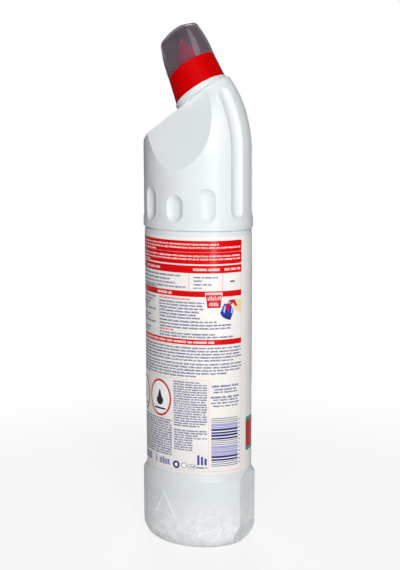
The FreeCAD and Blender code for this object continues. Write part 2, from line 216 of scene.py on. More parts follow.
@dataclass(frozen=True)
class BlownPolyethylene:
    """White high-density polyethylene, blow moulded: waxy, a little translucent, softly glossy.

    Near the foot the colour is painted whiter in mottled patches. This painted light stands in for
    the light that comes through the wall, and it makes the foot look frosted.
    """

    colour: str = "#E2E7E8"
    deep_colour: str = "#DADFE1"
    cloud_mm: float = 45.0
    cloud_detail: float = 2.0
    painted_foot_light_colour: str = "#FBFDFE"
    painted_foot_light_mm: float = 4.5
    painted_foot_light_detail: float = 6.0
    painted_foot_light_crispness: float = 0.75
    painted_foot_light_grain: Span = (0.44, 0.58)
    painted_foot_light_least: float = 0.2
    painted_foot_light_low_mm: float = 6.0
    painted_foot_light_high_mm: float = 34.0
    orange_peel_mm: float = 4.0
    peel_strength: float = 0.06
    peel_depth_mm: float = 0.4
    roughness: float = 0.36
    roughness_swing: float = 0.04
    specular: float = 0.3
    scatter: float = 0.12
    scatter_reach: tuple[float, float, float] = (1.0, 0.9, 0.8)
    scatter_mm: float = 2.0

    def material(self) -> bpy.types.Material:
        """Make the material: slow cloudiness, painted light in mottled patches near the foot, and
        the mould's orange peel.

        Returns:
            The material.
        """
        material, tree = blank_material("blown_polyethylene")
        place = add_node(tree, "ShaderNodeTexCoord").outputs["Object"]
        cloud = add_node(tree, "ShaderNodeTexNoise", {
            "Vector": place, "Scale": MM_PER_METRE / self.cloud_mm, "Detail": self.cloud_detail})
        tint = add_node(tree, "ShaderNodeMix", {
            FACTOR: cloud.outputs["Fac"], FIRST: linear(self.deep_colour),
            SECOND: linear(self.colour)}, data_type="RGBA")
        height = add_node(tree, "ShaderNodeSeparateXYZ", {"Vector": place}).outputs["Z"]
        # Painted light: towards the foot the colour turns whiter in mottled patches, for the light
        # that comes through the wall.
        near_foot = add_node(tree, "ShaderNodeMapRange", {
            "Value": height, "From Min": self.painted_foot_light_high_mm * MM,
            "From Max": self.painted_foot_light_low_mm * MM})
        foot_light_noise = add_node(tree, "ShaderNodeTexNoise", {
            "Vector": place, "Scale": MM_PER_METRE / self.painted_foot_light_mm,
            "Detail": self.painted_foot_light_detail, "Roughness": self.painted_foot_light_crispness})
        foot_light_patches = add_node(tree, "ShaderNodeMapRange", {
            "Value": foot_light_noise.outputs["Fac"], "From Min": self.painted_foot_light_grain[0],
            "From Max": self.painted_foot_light_grain[1], "To Min": self.painted_foot_light_least})
        painted_foot_light = add_node(tree, "ShaderNodeMath", {
            0: near_foot.outputs["Result"], 1: foot_light_patches.outputs["Result"]}, operation="MULTIPLY")
        colour_with_painted_light = add_node(tree, "ShaderNodeMix", {
            FACTOR: painted_foot_light.outputs["Value"], FIRST: tint.outputs[MIXED],
            SECOND: linear(self.painted_foot_light_colour)}, data_type="RGBA")
        peel = add_node(tree, "ShaderNodeTexNoise", {
            "Vector": place, "Scale": MM_PER_METRE / self.orange_peel_mm, "Detail": 1.0})
        sheen = add_node(tree, "ShaderNodeMapRange", {
            "Value": peel.outputs["Fac"], "To Min": self.roughness - self.roughness_swing,
            "To Max": self.roughness + self.roughness_swing})
        bump = add_node(tree, "ShaderNodeBump", {
            "Height": peel.outputs["Fac"], "Strength": self.peel_strength,
            "Distance": self.peel_depth_mm * MM})
        shader = add_node(tree, "ShaderNodeBsdfPrincipled", {
            "Base Color": colour_with_painted_light.outputs[MIXED], "Roughness": sheen.outputs["Result"],
            "IOR": POLYETHYLENE_INDEX, "Specular IOR Level": self.specular,
            "Subsurface Weight": self.scatter, "Subsurface Radius": self.scatter_reach,
            "Subsurface Scale": self.scatter_mm * MM, "Normal": bump.outputs["Normal"]})
        add_node(tree, "ShaderNodeOutputMaterial", {"Surface": shader.outputs["BSDF"]})
        return material


@dataclass(frozen=True)
class PrintedFilm:
    """White polypropylene label film, calendered: smooth, satin, and warmer than the bottle."""

    colour: str = "#F0EDE9"
    shade: str = "#ECE8E4"
    roughness: float = 0.38
    specular: float = 0.25
    ripple_mm: float = 22.0
    ripple_strength: float = 0.1
    ripple_depth_mm: float = 0.5

    def material(self) -> bpy.types.Material:
        """Make the material: a hardly seen change of tone, and the slack of a wrapped film.

        Returns:
            The material.
        """
        material, tree = blank_material("label_film")
        place = add_node(tree, "ShaderNodeTexCoord").outputs["Object"]
        ripple = add_node(tree, "ShaderNodeTexNoise", {
            "Vector": place, "Scale": MM_PER_METRE / self.ripple_mm, "Detail": 1.0})
        tint = add_node(tree, "ShaderNodeMix", {
            FACTOR: ripple.outputs["Fac"], FIRST: linear(self.shade),
            SECOND: linear(self.colour)}, data_type="RGBA")
        bump = add_node(tree, "ShaderNodeBump", {
            "Height": ripple.outputs["Fac"], "Strength": self.ripple_strength,
            "Distance": self.ripple_depth_mm * MM})
        shader = add_node(tree, "ShaderNodeBsdfPrincipled", {
            "Base Color": tint.outputs[MIXED], "Roughness": self.roughness,
            "IOR": POLYPROPYLENE_INDEX, "Specular IOR Level": self.specular,
            "Normal": bump.outputs["Normal"]})
        add_node(tree, "ShaderNodeOutputMaterial", {"Surface": shader.outputs["BSDF"]})
        return material


@dataclass(frozen=True)
class FilmInk:
    """Flexographic ink under a clear lacquer: even colour with a faint mottle, satin gloss."""

    ink: Ink
    roughness: float = 0.22
    specular: float = 0.18
    mottle_mm: float = 1.6
    mottle_detail: float = 2.0
    thin_gain: float = 1.15
    thin_lift: float = 0.001
    stem_pitch_mm: float = 0.5
    stem_edge: Span = (0.48, 0.6)
    stem_bare: float = 0.85

    def material(self) -> bpy.types.Material:
        """Make the material. Small print is broken by bare noise spots at letter pitch, which
        stand in for the gaps between its stems.

        Returns:
            The material. Its places come from the flat print in millimetres.
        """
        material, tree = blank_material("ink_" + self.ink.name.lower())
        place = add_node(tree, "ShaderNodeTexCoord").outputs["UV"]
        mottle = add_node(tree, "ShaderNodeTexNoise", {
            "Vector": place, "Scale": 1.0 / self.mottle_mm, "Detail": self.mottle_detail})
        full = linear(self.ink.value)
        thin = tuple(min(1.0, c * self.thin_gain + self.thin_lift) for c in full[:3]) + (1.0,)
        tint = add_node(tree, "ShaderNodeMix", {
            FACTOR: mottle.outputs["Fac"], FIRST: full, SECOND: thin},
            data_type="RGBA").outputs[MIXED]
        if self.ink in SMALL_INKS:
            ground = Ink.RED.value if self.ink is Ink.SMALL_WHITE else PrintedFilm().colour
            stems = add_node(tree, "ShaderNodeTexNoise", {
                "Vector": place, "Scale": 1.0 / self.stem_pitch_mm, "Detail": 1.0})
            bare = add_node(tree, "ShaderNodeMapRange", {
                "Value": stems.outputs["Fac"], "From Min": self.stem_edge[0],
                "From Max": self.stem_edge[1], "To Max": self.stem_bare})
            tint = add_node(tree, "ShaderNodeMix", {
                FACTOR: bare.outputs["Result"], FIRST: tint, SECOND: linear(ground)},
                data_type="RGBA").outputs[MIXED]
        shader = add_node(tree, "ShaderNodeBsdfPrincipled", {
            "Base Color": tint, "Roughness": self.roughness, "IOR": POLYPROPYLENE_INDEX,
            "Specular IOR Level": self.specular})
        add_node(tree, "ShaderNodeOutputMaterial", {"Surface": shader.outputs["BSDF"]})
        return material


@dataclass(frozen=True)
class MouldedPolypropylene:
    """Red polypropylene, injection moulded: deep colour with the soft gloss of a polished mould.

    Above the band the spout's thin wall is painted a brighter pink. This painted glow stands in
    for the light that comes through the wall. That part starts at the parting, in metres along the
    axis of the closure's rings.
    """

    parting: float
    ring_axis: tuple[float, float, float] = (-0.5807, 0.0, 0.8141)
    colour: str = "#CC0003"
    flow_colour: str = "#C40002"
    painted_glow_colour: str = "#F8306C"
    thin_fade_mm: float = 1.5
    flow_mm: float = 12.0
    flow_detail: float = 2.0
    smoothest: float = 0.45
    roughest: float = 0.53
    band_specular: float = 0.03
    thin_specular: float = 0.5

    def material(self) -> bpy.types.Material:
        """Make the material: faint flow marks in colour and gloss, and the painted pink glow of
        the thin wall.

        Returns:
            The material.
        """
        material, tree = blank_material("moulded_polypropylene_red")
        place = add_node(tree, "ShaderNodeTexCoord").outputs["Object"]
        flow = add_node(tree, "ShaderNodeTexNoise", {
            "Vector": place, "Scale": MM_PER_METRE / self.flow_mm, "Detail": self.flow_detail})
        tint = add_node(tree, "ShaderNodeMix", {
            FACTOR: flow.outputs["Fac"], FIRST: linear(self.flow_colour),
            SECOND: linear(self.colour)}, data_type="RGBA")
        sheen = add_node(tree, "ShaderNodeMapRange", {
            "Value": flow.outputs["Fac"], "To Min": self.smoothest, "To Max": self.roughest})
        along = add_node(tree, "ShaderNodeVectorMath", {0: place, 1: self.ring_axis},
                         operation="DOT_PRODUCT")
        thin = add_node(tree, "ShaderNodeMapRange", {
            "Value": along.outputs["Value"], "From Min": self.parting,
            "From Max": self.parting + self.thin_fade_mm * MM})
        # Painted glow: above the band the colour turns to a brighter pink, for the light that
        # comes through the thin wall.
        wall = add_node(tree, "ShaderNodeMix", {
            FACTOR: thin.outputs["Result"], FIRST: tint.outputs[MIXED],
            SECOND: linear(self.painted_glow_colour)}, data_type="RGBA")
        gloss = add_node(tree, "ShaderNodeMapRange", {
            "Value": thin.outputs["Result"], "To Min": self.band_specular,
            "To Max": self.thin_specular})
        shader = add_node(tree, "ShaderNodeBsdfPrincipled", {
            "Base Color": wall.outputs[MIXED], "Roughness": sheen.outputs["Result"],
            "IOR": POLYPROPYLENE_INDEX, "Specular IOR Level": gloss.outputs["Result"]})
        add_node(tree, "ShaderNodeOutputMaterial", {"Surface": shader.outputs["BSDF"]})
        return material


@dataclass(frozen=True)
class SmokedPolypropylene:
    """Clarified polypropylene with a grey-violet dye, injection moulded: clear, slightly hazy.

    Where the wall is seen at a slant the eye looks through more of the dye, so it is darker.
    """

    colour: str = "#8E848C"
    dense_colour: str = "#857B83"
    edge_colour: str = "#5E585E"
    edge_blend: float = 0.25
    edge_slant: Span = (0.2, 0.9)
    haze_mm: float = 9.0
    haze: Span = (0.08, 0.14)
    thin_wall_index: float = 1.2
    transmission: float = 0.82
    coat: float = 0.35
    coat_roughness: float = 0.06

    def material(self) -> bpy.types.Material:
        """Make the material: a see-through wall whose dye and haze change slowly along the flow.

        Returns:
            The material. It throws no shadow, because so thin a wall hardly does.
        """
        material, tree = blank_material("smoked_polypropylene")
        place = add_node(tree, "ShaderNodeTexCoord").outputs["Object"]
        flow = add_node(tree, "ShaderNodeTexNoise", {
            "Vector": place, "Scale": MM_PER_METRE / self.haze_mm, "Detail": 1.0})
        tint = add_node(tree, "ShaderNodeMix", {
            FACTOR: flow.outputs["Fac"], FIRST: linear(self.dense_colour),
            SECOND: linear(self.colour)}, data_type="RGBA")
        slant = add_node(tree, "ShaderNodeLayerWeight", {"Blend": self.edge_blend})
        depth = add_node(tree, "ShaderNodeMapRange", {
            "Value": slant.outputs["Facing"], "From Min": self.edge_slant[0],
            "From Max": self.edge_slant[1]})
        wall = add_node(tree, "ShaderNodeMix", {
            FACTOR: depth.outputs["Result"], FIRST: tint.outputs[MIXED],
            SECOND: linear(self.edge_colour)}, data_type="RGBA")
        haze = add_node(tree, "ShaderNodeMapRange", {
            "Value": flow.outputs["Fac"], "To Min": self.haze[0], "To Max": self.haze[1]})
        shader = add_node(tree, "ShaderNodeBsdfPrincipled", {
            "Base Color": wall.outputs[MIXED], "Roughness": haze.outputs["Result"],
            "IOR": self.thin_wall_index, "Transmission Weight": self.transmission,
            "Coat Weight": self.coat, "Coat Roughness": self.coat_roughness,
            "Coat IOR": POLYPROPYLENE_INDEX})
        clear = add_node(tree, "ShaderNodeBsdfTransparent")
        path = add_node(tree, "ShaderNodeLightPath")
        both = add_node(tree, "ShaderNodeMixShader", {
            0: path.outputs["Is Shadow Ray"], 1: shader.outputs["BSDF"],
            2: clear.outputs["BSDF"]})
        add_node(tree, "ShaderNodeOutputMaterial", {"Surface": both.outputs["Shader"]})
        return material


@dataclass(frozen=True)
class StudioPaper:
    """Pale seamless paper that fades to a white background away from the object."""

    colour: str = "#E2E2E2"
    pale_colour: str = "#E8E8E8"
    fibre_scale: float = 900.0
    fade_from_mm: float = 150.0
    fade_to_mm: float = 420.0
    least_white: float = 0.84

    def material(self) -> bpy.types.Material:
        """Make the material: paper that takes the shadow, and white for the camera further out.

        Returns:
            The material.
        """
        material, tree = blank_material("studio_paper")
        place = add_node(tree, "ShaderNodeTexCoord").outputs["Object"]
        fibre = add_node(tree, "ShaderNodeTexNoise", {
            "Vector": place, "Scale": self.fibre_scale})
        tone = add_node(tree, "ShaderNodeMix", {
            FACTOR: fibre.outputs["Fac"], FIRST: linear(self.colour),
            SECOND: linear(self.pale_colour)}, data_type="RGBA")
        paper = add_node(tree, "ShaderNodeBsdfDiffuse", {"Color": tone.outputs[MIXED]})
        white = add_node(tree, "ShaderNodeEmission", {"Color": WHITE_LIGHT})
        reach = add_node(tree, "ShaderNodeVectorMath", {0: place}, operation="LENGTH")
        fade = add_node(tree, "ShaderNodeMapRange", {
            "Value": reach.outputs["Value"], "From Min": self.fade_from_mm * MM,
            "From Max": self.fade_to_mm * MM, "To Min": self.least_white},
            interpolation_type="SMOOTHSTEP")
        share = add_node(tree, "ShaderNodeMath", {
            0: seen_share(tree), 1: fade.outputs["Result"]}, operation="MULTIPLY")
        both = add_node(tree, "ShaderNodeMixShader", {
            0: share.outputs["Value"], 1: paper.outputs["BSDF"], 2: white.outputs["Emission"]})
        add_node(tree, "ShaderNodeOutputMaterial", {"Surface": both.outputs["Shader"]})
        return material


@dataclass
class LabelOval:
    """The oval that the film is wrapped on, measured round its edge from the middle of -Y."""

    middle_x: float
    half_length: float
    half_width: float
    steps: int = 720
    angles: list[float] = field(default_factory=list)
    lengths: list[float] = field(default_factory=list)

    @classmethod
    def from_node(cls, node: str) -> "LabelOval":
        """Measure the oval of a CAD node.

        Args:
            node: the name of the film's node.

        Returns:
            The oval, in millimetres.
        """
        low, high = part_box(node)
        size = (high - low) / 2 / MM
        oval = cls((low.x + high.x) / 2 / MM, size.x, size.y)
        oval.measure()
        return oval

    def measure(self) -> None:
        """Add up the length round the oval, from half a turn before the middle of -Y to after."""
        start = -1.5 * math.pi
        total = 0.0
        here = None
        for i in range(self.steps + 1):
            angle = start + FULL_TURN * i / self.steps
            there = Vector((self.half_length * math.cos(angle), self.half_width * math.sin(angle)))
            if here is not None:
                total += (there - here).length
            here = there
            self.angles.append(angle)
            self.lengths.append(total)
        self.lengths = [length - total / 2 for length in self.lengths]

    @property
    def half_round(self) -> float:
        """Give half the length round the oval."""
        return self.lengths[-1]

    def place(self, along: float, height: float, lift: float) -> Vector:
        """Give the point on the film at a place of the flat print.

        Args:
            along: the distance round the oval from the middle of -Y, positive towards +X.
            height: the height above the floor.
            lift: how far the point lies outside the film.

        Returns:
            The point in the saved frame, in metres.
        """
        span = 2 * self.half_round
        along = (along + self.half_round) % span - self.half_round
        i = min(max(bisect_right(self.lengths, along), 1), self.steps)
        share = (along - self.lengths[i - 1]) / (self.lengths[i] - self.lengths[i - 1])
        angle = self.angles[i - 1] + share * (self.angles[i] - self.angles[i - 1])
        out = Vector((math.cos(angle) / self.half_length, math.sin(angle) / self.half_width, 0))
        base = Vector((self.middle_x + self.half_length * math.cos(angle),
                       self.half_width * math.sin(angle), height))
        return (base + out.normalized() * lift) * MM


@dataclass
class PrintSheet:
    """The flat print: closed outlines of ink in millimetres, later wrapped round the oval."""

    oval: LabelOval
    first_lift: float = 0.03
    layer_lift: float = 0.015
    slice_width: float = 1.5
    slice_snap: float = 0.01
    wide_corner: float = 3.0
    corner_steps: int = 3
    wide_corner_steps: int = 12
    word_lengths: Span = (1.6, 6.5)
    word_gap: float = 0.55
    short_stroke: float = 0.22
    shapes: list[tuple[Ink, int, list[Point]]] = field(default_factory=list)
    chance: random.Random = field(default_factory=lambda: random.Random(PRINT_SEED))

    def outline(self, ink: Ink, points: list[Point], layer: int = 0) -> None:
        """Print one closed outline.

        Args:
            ink: the ink.
            points: its corners, as (along, height).
            layer: how many inks lie under it.
        """
        self.shapes.append((ink, layer, points))

    def block(self, ink: Ink, left: float, right: float, low: float, high: float,
              corner: float = 0.0, layer: int = 0) -> None:
        """Print a rectangle, with round corners where asked.

        Args:
            ink: the ink.
            left: its left edge along the print.
            right: its right edge.
            low: its lower edge above the floor.
            high: its upper edge.
            corner: the radius of its corners.
            layer: how many inks lie under it.
        """
        if corner <= 0:
            self.outline(ink, [(left, low), (right, low), (right, high), (left, high)], layer)
            return
        points = []
        steps = self.corner_steps if corner < self.wide_corner else self.wide_corner_steps
        middles = ((right - corner, low + corner, -90), (right - corner, high - corner, 0),
                   (left + corner, high - corner, 90), (left + corner, low + corner, 180))
        for x, y, start in middles:
            for i in range(steps + 1):
                angle = math.radians(start + 90.0 * i / steps)
                points.append((x + corner * math.cos(angle), y + corner * math.sin(angle)))
        self.outline(ink, points, layer)

    def oval_spot(self, ink: Ink, x: float, y: float, half_x: float, half_y: float,
                  layer: int = 0, sides: int = 28) -> None:
        """Print a filled oval.

        Args:
            ink: the ink.
            x: the middle along the print.
            y: the middle's height.
            half_x: half its width.
            half_y: half its height.
            layer: how many inks lie under it.
            sides: how many corners its edge has.
        """
        turn = FULL_TURN / sides
        self.outline(ink, [(x + half_x * math.cos(i * turn), y + half_y * math.sin(i * turn))
                           for i in range(sides)], layer)

    def words(self, ink: Ink, left: float, right: float, height: float, size: float = 1.0,
              layer: int = 0) -> None:
        """Print one line of greeked small print: plain bars as long as words.

        Args:
            ink: the ink.
            left: where the line starts along the print.
            right: where it ends.
            height: the height of its middle.
            size: how tall the bars are.
            layer: how many inks lie under them.
        """
        here = left
        while here < right - size:
            end = min(here + size * self.chance.uniform(*self.word_lengths), right)
            self.block(ink, here, end, height - size / 2, height + size / 2, layer=layer)
            here = end + size * self.word_gap

    def strokes(self, ink: Ink, left: float, right: float, low: float, high: float,
                width: float, gap: float, layer: int = 0) -> None:
        """Print a row of upright strokes that stand in for bold characters, some of them short.

        Args:
            ink: the ink.
            left: where the row starts along the print.
            right: where it ends.
            low: the foot of the strokes.
            high: their top.
            width: the width of one stroke.
            gap: the space between two.
            layer: how many inks lie under them.
        """
        here = left
        while here + width <= right:
            drop = self.short_stroke * (high - low) * self.chance.choice((0, 0, 1))
            self.block(ink, here, here + width, low, high - drop, layer=layer)
            here += width + gap

    def mesh(self, name: str) -> bpy.types.Object:
        """Wrap the whole print round the oval, as one object with a material for each ink.

        Args:
            name: the object's name.

        Returns:
            The object, linked to the scene.
        """
        inks = list(Ink)
        work = bmesh.new()
        for ink, layer, points in self.shapes:
            lift = self.first_lift + layer * self.layer_lift
            face = work.faces.new([work.verts.new((x, y, lift)) for x, y in points])
            face.material_index = inks.index(ink)
        self.cut_slices(work)
        flat = work.loops.layers.uv.new("flat_mm")
        for face in work.faces:
            face.smooth = True
            for loop in face.loops:
                loop[flat].uv = (loop.vert.co.x, loop.vert.co.y)
        for vert in work.verts:
            vert.co = self.oval.place(vert.co.x, vert.co.y, vert.co.z)
        return add_mesh_object(name, work, [FilmInk(ink).material() for ink in inks])

    def cut_slices(self, work: bmesh.types.BMesh) -> None:
        """Cut the flat print into upright slices, narrow enough to follow the oval.

        Args:
            work: the flat print.
        """
        low = min(v.co.x for v in work.verts)
        high = max(v.co.x for v in work.verts)
        cut = math.ceil(low / self.slice_width) * self.slice_width
        while cut < high:
            everything = work.verts[:] + work.edges[:] + work.faces[:]
            bmesh.ops.bisect_plane(work, geom=everything, dist=self.slice_snap,
                                   plane_co=(cut, 0, 0), plane_no=(1, 0, 0))
            cut += self.slice_width


@dataclass(frozen=True)
class DropSign:
    """A plain drop over a short bar, in a red oval ring.

    The bar's edges are measured down from the ring's middle.
    """

    ring: Point = (9.3, 11.5)
    ring_inside: Point = (8.1, 10.2)
    ring_sides: int = 40
    drop: Point = (2.9, 3.2)
    drop_sink: float = 1.4
    drop_sides: int = 24
    tip: float = 1.1
    tip_power: int = 6
    shoulder: float = 0.3
    shoulder_share: float = 0.75
    bar_half: float = 5.0
    bar_low: float = 7.3
    bar_high: float = 6.2
    bar_corner: float = 0.5

    def print_at(self, sheet: PrintSheet, x: float, y: float) -> None:
        """Print the sign.

        Args:
            sheet: the print that it is part of.
            x: the ring's middle along the print.
            y: its middle's height.
        """
        sheet.oval_spot(Ink.CRIMSON, x, y, *self.ring, layer=1, sides=self.ring_sides)
        sheet.oval_spot(Ink.WHITE, x, y, *self.ring_inside, layer=2, sides=self.ring_sides)
        points = []
        for i in range(self.drop_sides):
            turn = FULL_TURN * i / self.drop_sides
            stretch = 1.0 + self.tip * max(0.0, math.sin(turn)) ** self.tip_power
            share = 1.0 if math.sin(turn) < self.shoulder else self.shoulder_share
            points.append((x + self.drop[0] * math.cos(turn) * share,
                           y - self.drop_sink + self.drop[1] * math.sin(turn) * stretch))
        sheet.outline(Ink.CHARCOAL, points, 3)
        sheet.block(Ink.CHARCOAL, x - self.bar_half, x + self.bar_half, y - self.bar_low,
                    y - self.bar_high, corner=self.bar_corner, layer=3)


@dataclass
class TextPanel:
    """The side with the small print: red headings, a table, text columns and a bar pattern.

    Its tables give heights above the floor and places along the print.
    """

    sheet: PrintSheet
    left: float = -44.0
    right: float = 42.5
    text_left: float = -42.0
    body_left: float = -12.3
    small: float = 0.95
    tiny: float = 0.9
    head_corner: float = 1.1
    head_pitch: float = 1.9
    table_corner: float = 0.9
    table_low: float = 161.0
    table_high: float = 171.8
    table_top: float = 176.4
    table_rule: float = 0.7
    frame_right: float = 20.9
    frame_low: float = 50.1
    frame_high: float = 107.2
    frame_width: float = 0.3
    foot_width: float = 0.4
    sign: DropSign = DropSign()

    def print_all(self) -> None:
        """Print every zone, from the top down."""
        self.headings()
        self.table()
        self.body_text()
        self.side_text()
        self.tag()
        self.picture()
        self.dense_text()
        self.lower_frame()
        self.signs()
        self.lower_left_column()
        self.lower_right_column()
        self.address()
        self.bar_pattern()
        self.bottom_row()

    def headings(self) -> None:
        """Print the two red blocks at the top, with their white lines."""
        blocks = ((184.3, 191.1), (177.2, 184.2))
        lines = ((188.9, (27.0, 41.4, -15.0)), (182.0, (41.2, 41.2, -22.0)))
        for low, high in blocks:
            self.sheet.block(Ink.RED, self.left, self.right, low, high, corner=self.head_corner)
        for top, ends in lines:
            for i, end in enumerate(ends):
                self.sheet.words(Ink.SMALL_WHITE, self.text_left, end,
                                 top - i * self.head_pitch, self.tiny, layer=1)

    def table(self) -> None:
        """Print the table's red heading, its rules and its text."""
        title_height, title_size = 174.0, 1.4
        titles = ((-26.0, -11.5), (11.6, 27.6), (30.4, 41.4))
        rules = (8.7, 29.0)
        first = ((169.9, 4.0), (167.6, -4.0), (165.4, 0.0), (163.2, 6.8), (161.9, -15.0))
        second = ((169.3, 26.6), (167.2, 17.0), (165.0, 22.6), (162.9, 16.8))
        second_left = 11.9
        third_left, third_right, third_height = 34.2, 37.2, 166.6
        sheet = self.sheet
        sheet.block(Ink.RED, self.left, self.right, self.table_high, self.table_top,
                    corner=self.table_corner)
        for left, right in titles:
            sheet.words(Ink.SMALL_WHITE, left, right, title_height, title_size, layer=1)
        for across in rules:
            sheet.block(Ink.PINK, across, across + self.table_rule, self.table_low,
                        self.table_high)
        for left, column in ((self.text_left, first), (second_left, second)):
            for height, end in column:
                sheet.words(Ink.SMALL_NAVY, left, end, height, self.small)
        sheet.words(Ink.NAVY, third_left, third_right, third_height, self.tiny)

    def body_text(self) -> None:
        """Print the bar under the table and the text below it."""
        bar_low, bar_high = 157.6, 161.1
        title_left, title_right, title_height, title_size = -13.8, -2.4, 159.3, 1.5
        navy, red = Ink.SMALL_NAVY, Ink.SMALL_RED
        lines = ((156.0, 9.5, red), (153.9, 18.6, navy), (152.1, 17.2, navy),
                 (150.2, 17.8, navy), (148.3, 16.2, navy), (146.4, 13.0, navy),
                 (144.6, 15.6, navy), (142.4, 25.6, navy), (140.4, 34.7, navy),
                 (138.5, 35.5, navy), (136.8, -1.6, red), (134.9, 24.4, navy),
                 (133.2, 36.3, navy))
        sheet = self.sheet
        sheet.block(Ink.RED, self.left, self.right, bar_low, bar_high)
        sheet.words(Ink.SMALL_WHITE, title_left, title_right, title_height, title_size, layer=1)
        for height, end, ink in lines:
            sheet.words(ink, self.body_left, end, height)

    def side_text(self) -> None:
        """Print the short lines at the left of the body text, in three groups."""
        rows, empty, top, pitch = 12, (5, 9), 155.6, 1.95
        longest, step, lengths = -15.6, 3.0, 4
        for i in range(rows):
            if i not in empty:
                self.sheet.words(Ink.SMALL_NAVY, self.text_left, longest - step * (i % lengths),
                                 top - i * pitch)

    def tag(self) -> None:
        """Print the red tag with its two rows of strokes."""
        white = [(19.6, 150.6), (28.4, 150.6), (29.3, 160.2), (18.7, 160.2)]
        red = [(20.0, 151.0), (28.0, 151.0), (28.9, 159.0), (19.1, 159.0)]
        rows = ((20.3, 28.2, 155.6, 158.1, 0.62, 0.42), (21.2, 27.4, 152.2, 154.3, 0.55, 0.4))
        sheet = self.sheet
        sheet.outline(Ink.WHITE, white, 1)
        sheet.outline(Ink.CRIMSON, red, 2)
        sheet.block(Ink.CRIMSON, 18.9, 29.1, 159.3, 159.7, layer=2)
        for left, right, low, high, width, gap in rows:
            sheet.strokes(Ink.SMALL_WHITE, left, right, low, high, width, gap, layer=3)

    def picture(self) -> None:
        """Print a plain picture of a blue jug with a red handle on a sandy ground."""
        ground = [(35.0, 152.6), (37.2, 156.0), (42.4, 154.6), (42.4, 146.2), (39.6, 148.6),
                  (36.6, 149.4)]
        jug = [(27.7, 147.8), (29.0, 145.6), (31.2, 144.2), (34.2, 143.3), (36.4, 148.6),
               (34.8, 152.3), (30.3, 153.6)]
        shade = [(29.0, 145.6), (31.2, 144.2), (34.2, 143.3), (35.0, 145.3), (32.4, 145.8),
                 (30.2, 147.4)]
        left_glint = [(29.6, 149.0), (30.5, 147.6), (31.2, 151.4), (30.8, 153.0)]
        right_glint = [(34.6, 147.6), (35.3, 147.4), (35.9, 149.0), (34.9, 151.0)]
        handle = [(31.4, 150.6), (33.0, 148.3), (33.8, 152.0), (36.2, 153.6), (37.0, 152.0),
                  (39.4, 151.0), (37.0, 155.6), (33.4, 155.4), (32.0, 153.2)]
        for ink, points, layer in (
                (Ink.SAND, ground, 1), (Ink.BLUE, jug, 2), (Ink.NAVY, shade, 3),
                (Ink.PALE_BLUE, left_glint, 3), (Ink.PALE_BLUE, right_glint, 3),
                (Ink.CRIMSON, handle, 4)):
            self.sheet.outline(ink, points, layer)
        self.sheet.oval_spot(Ink.PALE_BLUE, 33.6, 153.9, 0.9, 0.5, layer=5, sides=12)

    def dense_text(self) -> None:
        """Print the second bar and the close-set text below it, dotted with red."""
        bar_low, bar_high = 128.5, 131.8
        title_right, title_height, title_size = 24.2, 130.1, 1.35
        ends = (42.0, 42.0, 42.0, 42.0, 36.0, 42.0, 42.0, 42.0, 33.2, 14.4)
        top, pitch, first_lines, paragraph_gap = 126.5, 1.87, 5, 0.5
        dots, dot_radius, dot_sides, dotted_lines = (-30.0, 0.0, 30.0), 0.4, 10, 4
        sheet = self.sheet
        sheet.block(Ink.RED, self.left, self.right, bar_low, bar_high)
        sheet.words(Ink.SMALL_WHITE, self.text_left, title_right, title_height, title_size,
                    layer=1)
        for i, end in enumerate(ends):
            height = top - i * pitch - (0.0 if i < first_lines else paragraph_gap)
            sheet.words(Ink.SMALL_NAVY, self.text_left, end, height)
            for at in dots if i < dotted_lines else ():
                sheet.oval_spot(Ink.SMALL_RED, at, height, dot_radius, dot_radius, layer=1,
                                sides=dot_sides)

    def lower_frame(self) -> None:
        """Print the thin frame round the lower columns, and the panel's foot and right edge."""
        left, right, low, high = self.left, self.frame_right, self.frame_low, self.frame_high
        width = self.frame_width
        for line in ((left, right, high - width, high), (left, right, low, low + width),
                     (left, left + width, low, high), (right - width, right, low, high),
                     (right, self.right, low, low + self.foot_width),
                     (self.right - width, self.right, low, self.table_high)):
            self.sheet.block(Ink.PINK, *line)

    def signs(self) -> None:
        """Print the two round signs side by side."""
        for x, y in ((-12.6, 93.6), (-33.0, 93.6)):
            self.sign.print_at(self.sheet, x, y)

    def lower_left_column(self) -> None:
        """Print the block of even lines below the signs."""
        rows, right, top, pitch = 15, -3.0, 80.4, 1.53
        for i in range(rows):
            self.sheet.words(Ink.SMALL_NAVY, self.text_left, right, top - i * pitch, self.small)

    def lower_right_column(self) -> None:
        """Print the tall column of the smallest text, whose last lines are short."""
        rows, empty, left, right, top, pitch = 29, 19, -1.6, 19.8, 105.3, 1.5
        long_rows, last_cut, cut_rows, row_cut = 24, 9.0, (0, 18, 22), 4.5
        for i in range(rows):
            if i != empty:
                cut = last_cut if i >= long_rows else (row_cut if i in cut_rows else 0.0)
                self.sheet.words(Ink.SMALL_NAVY, left, right - cut, top - i * pitch, self.tiny)

    def address(self) -> None:
        """Print the centred lines beside the columns, as plain bars."""
        middle, large = 31.3, 1.2
        for height, half, size in ((103.2, 8.6, large), (101.2, 7.4, self.small),
                                   (99.5, 7.8, self.small), (96.4, 9.2, large),
                                   (94.7, 8.0, self.small), (92.9, 9.2, self.small),
                                   (91.0, 8.0, self.small)):
            self.sheet.words(Ink.SMALL_NAVY, middle - half, middle + half, height, size)

